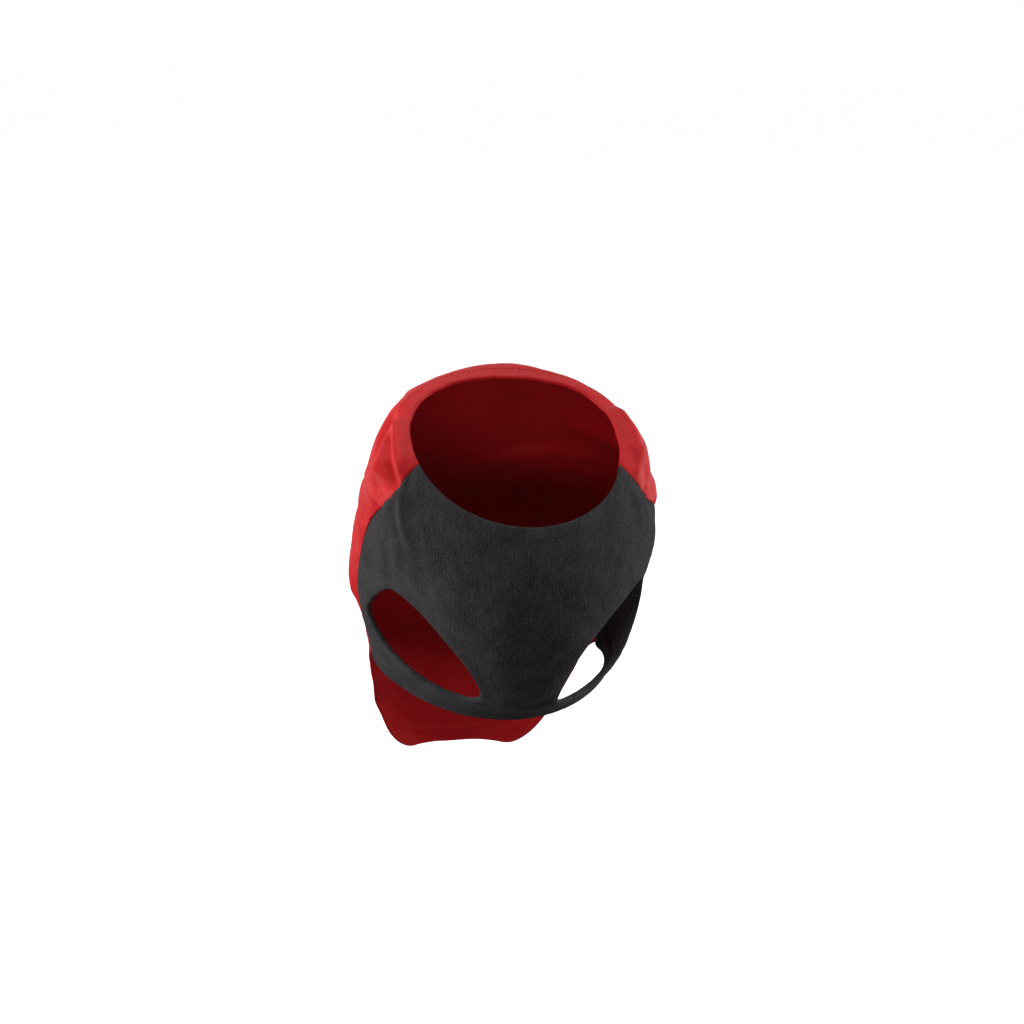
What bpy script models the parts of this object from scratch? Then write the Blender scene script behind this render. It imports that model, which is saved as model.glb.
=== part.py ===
"""A small dog's jacket, hollow and posed as worn by a sitting dog.

Two cut pieces: a woven back panel and a rib jersey chest panel with two leg armholes.
Metres, +Z up, the chest faces -Y. The origin is on the inner face of the back panel
at the withers, where the wearer carries the jacket.

Every place on the cloth has two coordinates: its ring, counted from 0 at the neckline
down to the tail, and its angle round the ring, from 0 at the middle of the chest to
180 degrees along the spine, positive towards +X. Left and right are the viewer's, who faces
the chest: left is -X.
"""

import math
from collections import namedtuple

import bmesh
import bpy
import numpy as np

MM = 0.001

# Driving sizes
BACK_WALL = 1.0 * MM
CHEST_WALL = 1.2 * MM
SEAM_GAP = 0.3 * MM
GROOVE_DEPTH = 0.7 * MM  # how far the seam pulls both panels in
GROOVE_REACH = 5.0 * MM

# The rings of the worn form. back and front are each ring's two ends in the middle
# plane, half_width its reach to each side, widest the share of the way from front to
# back where it is widest, fullness how square its back half is (2 is an ellipse), and
# the seams are the angles of the side seams at -X and at +X.
Section = namedtuple(
    "Section",
    "name back_y back_z front_y front_z half_width widest fullness left_seam right_seam",
)
SECTIONS = [
    Section("neck", -16, -1, -109, -55, 47.5, 0.56, 2.40, 77.5, 73),
    Section("shoulder", 0, 1, -120, -75, 60.5, 0.54, 2.15, 75.5, 71),
    Section("point", 13, -10, -123, -97, 64.3, 0.58, 2.20, 81, 79),
    Section("chest", 24, -23.5, -115, -119, 64.8, 0.63, 2.30, 85.5, 86),
    Section("brisket", 36, -40, -98, -136, 66.2, 0.65, 2.30, 85.5, 88),
    Section("girth", 48, -59, -77, -145, 66.5, 0.63, 2.20, 83.5, 86),
    Section("belly", 60, -79.5, -58, -151.5, 62.6, 0.60, 2.10, 85, 86),
    Section("waist", 73, -104.5, -40, -169, 56.0, 0.56, 2.10, 86, 86),
    Section("flank", 85, -131.5, -24, -191, 52.5, 0.52, 2.10, 86, 86),
    Section("loin", 96, -161, -8, -213, 54.0, 0.50, 2.10, 86, 86),
    Section("rump", 105, -189, 5, -237, 57.0, 0.50, 2.10, 86, 86),
    Section("tail", 112, -217, 15, -263, 58.0, 0.50, 2.10, 86, 86),
]
CHEST_FULLNESS = 2.0

# Hem: the ring where the cloth ends at the belly, at the side seams and over the rump
HEM_BELLY = 6.2
HEM_SEAM = 7.1
HEM_RUMP = 10.4
HEM_RISE = (0.0, 0.38)  # shares of the back panel's width where the hem drops to the rump

# The armholes' edges, which the two forelegs have pushed to different places. Angles are
# measured away from the middle of the chest on either side.
Mark = namedtuple("Mark", "name ring angle")
LEFT_ARMHOLE = [
    Mark("top", 3.29, 64.3),
    Mark("top_front", 2.94, 56),
    Mark("front_high", 2.85, 48),
    Mark("front_upper", 2.97, 38.6),
    Mark("front", 3.17, 31.4),
    Mark("front_low", 3.83, 21),
    Mark("bottom_front", 4.62, 21),
    Mark("bottom", 5.08, 31),
    Mark("bottom_back", 5.30, 47),
    Mark("back_low", 5.26, 62),
    Mark("back", 4.95, 71.5),
    Mark("back_high", 4.40, 70.9),
    Mark("top_back", 3.81, 68.3),
]
RIGHT_ARMHOLE = [
    Mark("top", 2.58, 58),
    Mark("top_front", 2.19, 48),
    Mark("front_high", 2.18, 38.6),
    Mark("front_upper", 2.33, 28.6),
    Mark("front", 2.79, 17.5),
    Mark("front_low", 3.57, 11),
    Mark("bottom_front", 4.42, 12.5),
    Mark("bottom", 4.98, 25),
    Mark("bottom_back", 5.22, 41),
    Mark("back_low", 5.12, 56),
    Mark("back", 4.68, 66),
    Mark("back_high", 3.98, 67.5),
    Mark("top_back", 3.22, 64.5),
]
LEFT_CENTRE = Mark("left_centre", 4.30, 47)
RIGHT_CENTRE = Mark("right_centre", 4.05, 43)
RING_STEP = 22 * MM  # rough distances that one ring and one radian stand for
RADIUS = 62 * MM

# The largest folds: ridges have a height above 0 and troughs one below.
Fold = namedtuple("Fold", "name ring angle end_ring end_angle half_width height")
FOLDS = [
    Fold("left_collar_ridge", 0.45, -114, 0.66, -72, 3.4, 1.3),
    Fold("left_chest_ridge", 0.66, -76, 1.60, -57, 4.2, 1.2),
    Fold("left_collar_trough", 0.62, -108, 0.84, -76, 3.2, -1.2),
    Fold("left_shoulder_ridge", 0.84, -108, 1.45, -86, 4.0, 1.4),
    Fold("left_shoulder_trough", 0.78, -116, 1.70, -95, 3.8, -1.5),
    Fold("left_armpit_bulge", 2.10, -72, 2.90, -66, 9.0, 1.2),
    Fold("left_flank_trough", 4.40, -84, 3.50, -126, 7.5, -1.3),
    Fold("left_flank_ridge", 5.95, -84, 5.25, -128, 7.5, 2.0),
    Fold("left_waist_ridge", 7.20, -94, 6.80, -134, 7.5, 1.4),
    Fold("left_hem_flute", 7.10, -100, 9.60, -128, 8.0, 2.2),
    Fold("left_hem_hollow", 7.60, -122, 9.40, -146, 8.5, -1.8),
    Fold("right_collar_ridge", 0.55, 122, 0.72, 80, 4.6, 2.3),
    Fold("right_collar_trough", 0.98, 98, 1.04, 76, 3.6, -1.0),
    Fold("right_shoulder_ridge", 1.28, 112, 1.80, 70, 5.4, 1.5),
    Fold("right_shoulder_trough", 1.85, 116, 1.70, 84, 5.0, -1.2),
    Fold("right_chest_bulge", 1.50, 62, 2.40, 66, 9.0, 1.1),
    Fold("right_flank_ridge", 4.10, 86, 3.30, 124, 7.0, 1.7),
    Fold("right_flank_trough", 4.90, 84, 4.40, 130, 7.0, -1.5),
    Fold("right_waist_ridge", 5.90, 84, 5.00, 136, 8.0, 2.0),
    Fold("right_waist_trough", 6.60, 92, 6.00, 134, 7.0, -1.5),
    Fold("right_hem_flute", 7.40, 104, 9.90, 132, 8.5, 2.0),
    Fold("nape_ridge", 0.70, 150, 0.90, 205, 5.0, 1.3),
    Fold("loin_trough", 7.60, 152, 7.20, 204, 9.0, -1.6),
    Fold("loin_ridge", 8.50, 206, 8.90, 158, 9.0, 1.7),
    Fold("belly_ridge", 5.75, -30, 5.70, 26, 4.5, 0.9),
]
FOLD_POINTS = 9  # places along a fold where its distance is taken
FOLD_END = 0.22  # share of its length over which a fold fades at each end

# Mesh counts
BACK_COLUMNS = 38
BACK_ROWS = 36
NECK_SIDE_COLUMNS = 11
HEM_SIDE_COLUMNS = 12
CENTRE_ROWS = 20
CHEST_BANDS = 10
SEAM_CROWDING = 0.35  # how much closer the back panel's columns stand near its seams
NECK_CROWDING = 1.4  # how much closer the rows stand near the neck
EDGE_CROWDING = 1.35
CENTRE_LINE = 1e-9  # degrees within which a point is on the centre line

DERIVATIVE_STEP = 1e-3


def natural_cubic(values):
    """A smooth curve through values at 0, 1, 2, ..., as a function of ring."""
    values = np.array(values, float)
    count = len(values)
    system = np.eye(count)
    bend = np.zeros(count)
    for i in range(1, count - 1):
        system[i, i - 1 : i + 2] = 1, 4, 1
        bend[i] = 6 * (values[i - 1] - 2 * values[i] + values[i + 1])
    bend = np.linalg.solve(system, bend)

    def curve(ring):
        start = np.clip(np.floor(ring).astype(int), 0, count - 2)
        part = ring - start
        left = 1 - part
        straight = left * values[start] + part * values[start + 1]
        bent = (left**3 - left) * bend[start] + (part**3 - part) * bend[start + 1]
        return straight + bent / 6

    return curve


def column(field, scale=1.0):
    return natural_cubic([getattr(section, field) * scale for section in SECTIONS])


BACK_Y = column("back_y", MM)
BACK_Z = column("back_z", MM)
FRONT_Y = column("front_y", MM)
FRONT_Z = column("front_z", MM)
HALF_WIDTH = column("half_width", MM)
WIDEST = column("widest")
FULLNESS = column("fullness")
LEFT_SEAM = column("left_seam")
RIGHT_SEAM = column("right_seam")


def smoothstep(value, low, high):
    share = np.clip((value - low) / (high - low), 0, 1)
    return share * share * (3 - 2 * share)


def form_point(ring, angle):
    """The smooth worn form, without folds. ring and angle are arrays."""
    turn = np.radians(angle)
    side, ahead = np.sin(turn), np.cos(turn)
    power = np.where(ahead < 0, FULLNESS(ring), CHEST_FULLNESS)
    reach = (np.abs(side) ** power + np.abs(ahead) ** power) ** (-1 / power)
    side, ahead = side * reach, ahead * reach
    widest = WIDEST(ring)
    share = np.where(ahead > 0, widest * (1 - ahead), widest - (1 - widest) * ahead)
    return np.stack(
        [
            HALF_WIDTH(ring) * side,
            FRONT_Y(ring) + (BACK_Y(ring) - FRONT_Y(ring)) * share,
            FRONT_Z(ring) + (BACK_Z(ring) - FRONT_Z(ring)) * share,
        ],
        -1,
    )


def normal_of(surface, ring, angle):
    """The outward normal of a surface that is a function of ring and angle."""
    step = DERIVATIVE_STEP
    turn = math.degrees(step)
    down = surface(ring + step, angle) - surface(ring - step, angle)
    around = surface(ring, angle + turn) - surface(ring, angle - turn)
    normal = np.cross(down, around)
    return normal / np.linalg.norm(normal, axis=-1, keepdims=True)


def fold_height(fold, points):
    """How far one fold lifts each point of the form."""
    share = np.linspace(0, 1, FOLD_POINTS)
    ring = fold.ring + (fold.end_ring - fold.ring) * share
    angle = fold.angle + (fold.end_angle - fold.angle) * share
    route = form_point(ring, angle)
    nearest = np.full(points.shape[:-1], np.inf)
    along = np.zeros(points.shape[:-1])
    for i in range(FOLD_POINTS - 1):
        run = route[i + 1] - route[i]
        part = np.clip((points - route[i]) @ run / (run @ run), 0, 1)
        gap = np.linalg.norm(points - route[i] - part[..., None] * run, axis=-1)
        along = np.where(gap < nearest, (i + part) / (FOLD_POINTS - 1), along)
        nearest = np.minimum(gap, nearest)
    fade = smoothstep(along, 0, FOLD_END) * smoothstep(1 - along, 0, FOLD_END)
    across = nearest / (fold.half_width * MM)
    return fold.height * MM * fade * np.exp(-across * across)


def groove(ring, angle):
    """How far the side seams pull the cloth in, on both of their sides."""
    turned = (angle + 180) % 360 - 180
    gap = np.minimum(abs(turned + LEFT_SEAM(ring)), abs(turned - RIGHT_SEAM(ring)))
    across = np.radians(gap) * RADIUS / GROOVE_REACH
    return -GROOVE_DEPTH * np.exp(-across * across)


def cloth_point(ring, angle):
    """The cloth's outer face, with its folds and seam grooves."""
    points = form_point(ring, angle)
    lift = groove(ring, angle)
    for fold in FOLDS:
        lift = lift + fold_height(fold, points)
    return points + lift[..., None] * normal_of(form_point, ring, angle)


def half_gap():
    """The angle that half the gap between two sewn panels takes."""
    return math.degrees(SEAM_GAP / 2 / RADIUS)


def seam_rings():
    """The rings of the points along a side seam, the same on both panels."""
    share = np.linspace(0, 1, BACK_ROWS + 1) ** NECK_CROWDING
    return HEM_SEAM * share


def back_patch():
    """Places and faces of the back panel: a grid from one side seam to the other."""
    even = np.linspace(0, 1, BACK_COLUMNS + 1)
    eased = 0.5 - 0.5 * np.cos(np.pi * even)
    across = even + (eased - even) * SEAM_CROWDING
    to_seam = np.minimum(across, 1 - across)
    hem = HEM_SEAM + (HEM_RUMP - HEM_SEAM) * smoothstep(to_seam, *HEM_RISE)
    ring = seam_rings()[:, None] / HEM_SEAM * hem[None, :]
    start = RIGHT_SEAM(ring) + half_gap()
    end = 360 - LEFT_SEAM(ring) - half_gap()
    angle = start + (end - start) * across[None, :]
    width = BACK_COLUMNS + 1
    quads = [
        (i * width + j, i * width + j + 1, (i + 1) * width + j + 1, (i + 1) * width + j)
        for i in range(BACK_ROWS)
        for j in range(BACK_COLUMNS)
    ]
    return ring.ravel(), angle.ravel(), quads


def flat(centre, ring, angle):
    """Ring and angle as distances from an armhole's centre."""
    along = (ring - centre.ring) * RING_STEP
    across = math.radians(angle - centre.angle) * RADIUS
    return along, across


def armhole_reach(marks, centre, direction):
    """How far an armhole's edge is from its centre, as a closed smooth curve."""
    places = [flat(centre, mark.ring, mark.angle) for mark in marks]
    turns = sorted((math.atan2(*place), math.hypot(*place)) for place in places)
    laps = (-2 * math.pi, 0, 2 * math.pi)
    knots = [(turn + lap, reach) for lap in laps for turn, reach in turns]
    i = max(k for k, (turn, _) in enumerate(knots) if turn <= direction)
    (before, low), (start, first) = knots[i - 1], knots[i]
    (end, last), (after, high) = knots[i + 1], knots[i + 2]
    span = end - start
    part = (direction - start) / span
    leave = (last - low) / (end - before) * span
    arrive = (high - first) / (after - start) * span
    return (
        (2 * part**3 - 3 * part**2 + 1) * first
        + (part**3 - 2 * part**2 + part) * leave
        + (3 * part**2 - 2 * part**3) * last
        + (part**3 - part**2) * arrive
    )


def chest_hem(angle, seam):
    """The ring of the chest panel's hem at an angle, on the side whose seam is given."""
    share = angle / float(seam(np.array(HEM_SEAM)))
    return HEM_BELLY + (HEM_SEAM - HEM_BELLY) * share * share


def chest_outline(seam):
    """Places round half of the chest panel: neck, side seam, hem, centre line."""
    neck_end = float(seam(np.array(0.0))) - half_gap()
    hem_end = float(seam(np.array(HEM_SEAM))) - half_gap()
    places = [(0.0, neck_end * i / NECK_SIDE_COLUMNS) for i in range(NECK_SIDE_COLUMNS)]
    places += [(ring, float(seam(np.array(ring))) - half_gap()) for ring in seam_rings()]
    for i in range(HEM_SIDE_COLUMNS - 1, 0, -1):
        angle = hem_end * i / HEM_SIDE_COLUMNS
        places.append((chest_hem(angle, seam), angle))
    places += [(HEM_BELLY * i / CENTRE_ROWS, 0.0) for i in range(CENTRE_ROWS, 0, -1)]
    return places


def chest_half(marks, centre, seam):
    """Places and faces of half of the chest panel: bands round its armhole."""
    ring, angle, quads = [], [], []
    shares = 1 - (1 - np.linspace(0, 1, CHEST_BANDS + 1)) ** EDGE_CROWDING
    outline = chest_outline(seam)
    for outer_ring, outer_angle in outline:
        direction = math.atan2(*flat(centre, outer_ring, outer_angle))
        reach = armhole_reach(marks, centre, direction)
        inner_ring = centre.ring + reach * math.sin(direction) / RING_STEP
        inner_angle = centre.angle + math.degrees(reach * math.cos(direction) / RADIUS)
        for share in shares:
            ring.append(inner_ring + (outer_ring - inner_ring) * share)
            angle.append(inner_angle + (outer_angle - inner_angle) * share)
    rows = CHEST_BANDS + 1
    for i in range(len(outline)):
        here, following = i * rows, (i + 1) % len(outline) * rows
        for j in range(CHEST_BANDS):
            quads.append((here + j, following + j, following + j + 1, here + j + 1))
    return np.array(ring), np.array(angle), quads


def chest_patch():
    """The chest panel's two halves, which share the points of its centre line."""
    ring, angle, quads = chest_half(RIGHT_ARMHOLE, RIGHT_CENTRE, RIGHT_SEAM)
    left_ring, left_angle, left_quads = chest_half(LEFT_ARMHOLE, LEFT_CENTRE, LEFT_SEAM)
    kept = np.abs(left_angle) > CENTRE_LINE
    number = np.where(kept, len(ring) + np.cumsum(kept) - 1, np.arange(len(left_ring)))
    quads += [tuple(int(number[i]) for i in reversed(quad)) for quad in left_quads]
    ring = np.concatenate([ring, left_ring[kept]])
    return ring, np.concatenate([angle, -left_angle[kept]]), quads


def wall(name, patch, thickness, material):
    """A closed solid: the patch's outer face, an inner face a wall inside, and its rim."""
    ring, angle, quads = patch
    outer = cloth_point(ring, angle)
    inner = outer - thickness * normal_of(cloth_point, ring, angle)
    count = len(ring)
    faces = list(quads) + [tuple(i + count for i in reversed(quad)) for quad in quads]
    sides = {(quad[i], quad[(i + 1) % 4]) for quad in quads for i in range(4)}
    for start, end in sides:
        if (end, start) not in sides:
            faces.append((end, start, start + count, end + count))
    mesh = bpy.data.meshes.new(name)
    mesh.from_pydata([tuple(point) for point in np.vstack([outer, inner])], [], faces)
    shape = bmesh.new()
    shape.from_mesh(mesh)
    bmesh.ops.recalc_face_normals(shape, faces=shape.faces)
    bmesh.ops.triangulate(shape, faces=shape.faces)
    shape.to_mesh(mesh)
    shape.free()
    mesh.shade_smooth()
    mesh.set_sharp_from_angle(angle=math.radians(50))
    mesh.materials.append(material)
    panel = bpy.data.objects.new(name, mesh)
    bpy.context.scene.collection.objects.link(panel)
    return panel


def cloth_material(name, colour, roughness, sheen):
    material = bpy.data.materials.new(name)
    material.use_nodes = True
    shader = material.node_tree.nodes["Principled BSDF"]
    shader.inputs["Base Color"].default_value = (*colour, 1)
    shader.inputs["Roughness"].default_value = roughness
    shader.inputs["Metallic"].default_value = 0
    shader.inputs["Sheen Weight"].default_value = sheen
    return material


def main():
    for thing in list(bpy.data.objects):
        bpy.data.objects.remove(thing, do_unlink=True)
    red_shell = cloth_material("red_woven_shell", (0.66, 0.035, 0.045), 0.5, 0.2)
    black_rib = cloth_material("black_rib_jersey", (0.02, 0.019, 0.02), 0.85, 0.3)
    wall("back_panel", back_patch(), BACK_WALL, red_shell)
    wall("chest_panel", chest_patch(), CHEST_WALL, black_rib)


main()
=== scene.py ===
"""Looks of a small dog's jacket, worn and hollow: a red woven back and a black rib chest.

Metres, +Z up, the chest faces -Y. A place on the cloth has a ring, from 0 at the
neckline down to the tail, and an angle round the ring, from 0 at the middle of the
chest to 180 degrees along the spine, positive towards +X. Left and right are the
viewer's: left is -X.
"""

import math
from collections import namedtuple

import bpy
import numpy as np
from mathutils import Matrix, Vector, noise
from mathutils.kdtree import KDTree


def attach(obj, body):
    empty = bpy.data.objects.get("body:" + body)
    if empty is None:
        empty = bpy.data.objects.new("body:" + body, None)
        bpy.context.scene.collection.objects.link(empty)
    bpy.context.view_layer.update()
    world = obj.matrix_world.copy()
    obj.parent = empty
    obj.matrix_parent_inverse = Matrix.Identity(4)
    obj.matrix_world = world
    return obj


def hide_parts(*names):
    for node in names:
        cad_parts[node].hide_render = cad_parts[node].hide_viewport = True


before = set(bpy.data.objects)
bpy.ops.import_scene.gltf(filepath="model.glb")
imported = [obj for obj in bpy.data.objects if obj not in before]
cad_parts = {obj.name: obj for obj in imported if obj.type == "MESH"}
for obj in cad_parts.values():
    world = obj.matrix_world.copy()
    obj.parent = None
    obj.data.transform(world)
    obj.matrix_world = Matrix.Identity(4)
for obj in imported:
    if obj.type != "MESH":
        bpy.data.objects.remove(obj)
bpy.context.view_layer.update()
MM = 0.001

# ---------------------------------------------------------------- the worn form
BACK_WALL = 1.0 * MM
CHEST_WALL = 1.2 * MM
SEAM_GAP = 0.12 * MM  # between the two shells at a side seam
RING_STEP = 22 * MM  # rough distances that one ring and one radian stand for
RADIUS = 62 * MM

# Each ring's two ends in the middle plane, its reach to each side, the share of the way
# from front to back where it is widest, how square its back half is, and its seams' angles
Section = namedtuple(
    "Section",
    "name back_y back_z front_y front_z half_width widest fullness left_seam right_seam",
)
SECTIONS = [
    Section("neck", -16, -1, -109, -55, 47.5, 0.56, 2.40, 77.5, 73),
    Section("shoulder", 0, 1, -120, -75, 60.5, 0.54, 2.15, 75.5, 71),
    Section("point", 13, -10, -123, -97, 64.3, 0.58, 2.20, 81, 79),
    Section("chest", 24, -23.5, -115, -119, 64.8, 0.63, 2.30, 85.5, 86),
    Section("brisket", 36, -40, -98, -136, 66.2, 0.65, 2.30, 85.5, 88),
    Section("girth", 48, -59, -77, -145, 66.5, 0.63, 2.20, 83.5, 86),
    Section("belly", 60, -79.5, -58, -151.5, 62.6, 0.60, 2.10, 85, 86),
    Section("waist", 73, -104.5, -40, -169, 56.0, 0.56, 2.10, 86, 86),
    Section("flank", 85, -131.5, -24, -191, 52.5, 0.52, 2.10, 86, 86),
    Section("loin", 96, -161, -8, -213, 54.0, 0.50, 2.10, 86, 86),
    Section("rump", 105, -189, 5, -237, 57.0, 0.50, 2.10, 86, 86),
    Section("tail", 112, -217, 15, -263, 58.0, 0.50, 2.10, 86, 86),
]
CHEST_FULLNESS = 2.0

# The rings where the cloth ends at the belly, at the side seams and over the rump
HEM_BELLY = 6.2
HEM_SEAM = 7.1
HEM_RUMP = 10.4
HEM_RISE = (0.0, 0.38)  # shares of the back's width where its hem drops to the rump

# The armholes' edges, each mark with its name, ring and angle away from the chest's middle
Mark = namedtuple("Mark", "name ring angle")
LEFT_ARMHOLE = [
    Mark("top", 3.29, 64.3),
    Mark("top_front", 2.94, 56),
    Mark("front_high", 2.85, 48),
    Mark("front_upper", 2.97, 38.6),
    Mark("front", 3.17, 31.4),
    Mark("front_low", 3.83, 21),
    Mark("bottom_front", 4.62, 21),
    Mark("bottom", 5.08, 31),
    Mark("bottom_back", 5.30, 47),
    Mark("back_low", 5.26, 62),
    Mark("back", 4.95, 71.5),
    Mark("back_high", 4.40, 70.9),
    Mark("top_back", 3.81, 68.3),
]
RIGHT_ARMHOLE = [
    Mark("top", 2.58, 58),
    Mark("top_front", 2.19, 48),
    Mark("front_high", 2.18, 38.6),
    Mark("front_upper", 2.33, 28.6),
    Mark("front", 2.79, 17.5),
    Mark("front_low", 3.57, 11),
    Mark("bottom_front", 4.42, 12.5),
    Mark("bottom", 4.98, 25),
    Mark("bottom_back", 5.22, 41),
    Mark("back_low", 5.12, 56),
    Mark("back", 4.68, 66),
    Mark("back_high", 3.98, 67.5),
    Mark("top_back", 3.22, 64.5),
]
LEFT_CENTRE = Mark("left_centre", 4.30, 47)
RIGHT_CENTRE = Mark("right_centre", 4.05, 43)

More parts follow.
